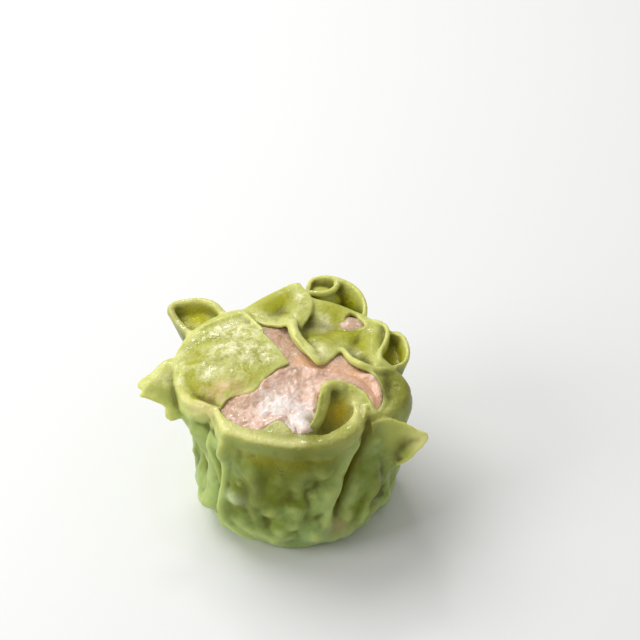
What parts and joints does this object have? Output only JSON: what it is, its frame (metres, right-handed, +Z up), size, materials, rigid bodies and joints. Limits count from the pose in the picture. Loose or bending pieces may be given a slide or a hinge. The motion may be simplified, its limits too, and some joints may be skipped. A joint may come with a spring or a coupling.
{
  "type": "siu mai dumpling",
  "caption": "Steamed open-topped dumpling: a green dough wrapper gathered and pleated into a cup around a minced pork filling, with flaps folded in over its top.",
  "frame": {"origin": "the middle of the flat base that the dumpling stands on, at the level of what it stands on", "axes": "+Z up, +X to the side of the long pointed corner, +Y to the back, -Y to the front with the lip and the curled spoon of dough"},
  "size_m": [0.0507, 0.0433, 0.0319],
  "materials": {
    "dough": "wet steamed dough, pale green and slightly translucent, glossy",
    "meat": "moist steamed minced pork, pale pink with white flecks of fat"
  },
  "bodies": {
    "root": {"wrapper": "dough", "filling": "meat"}
  },
  "joints": []
}
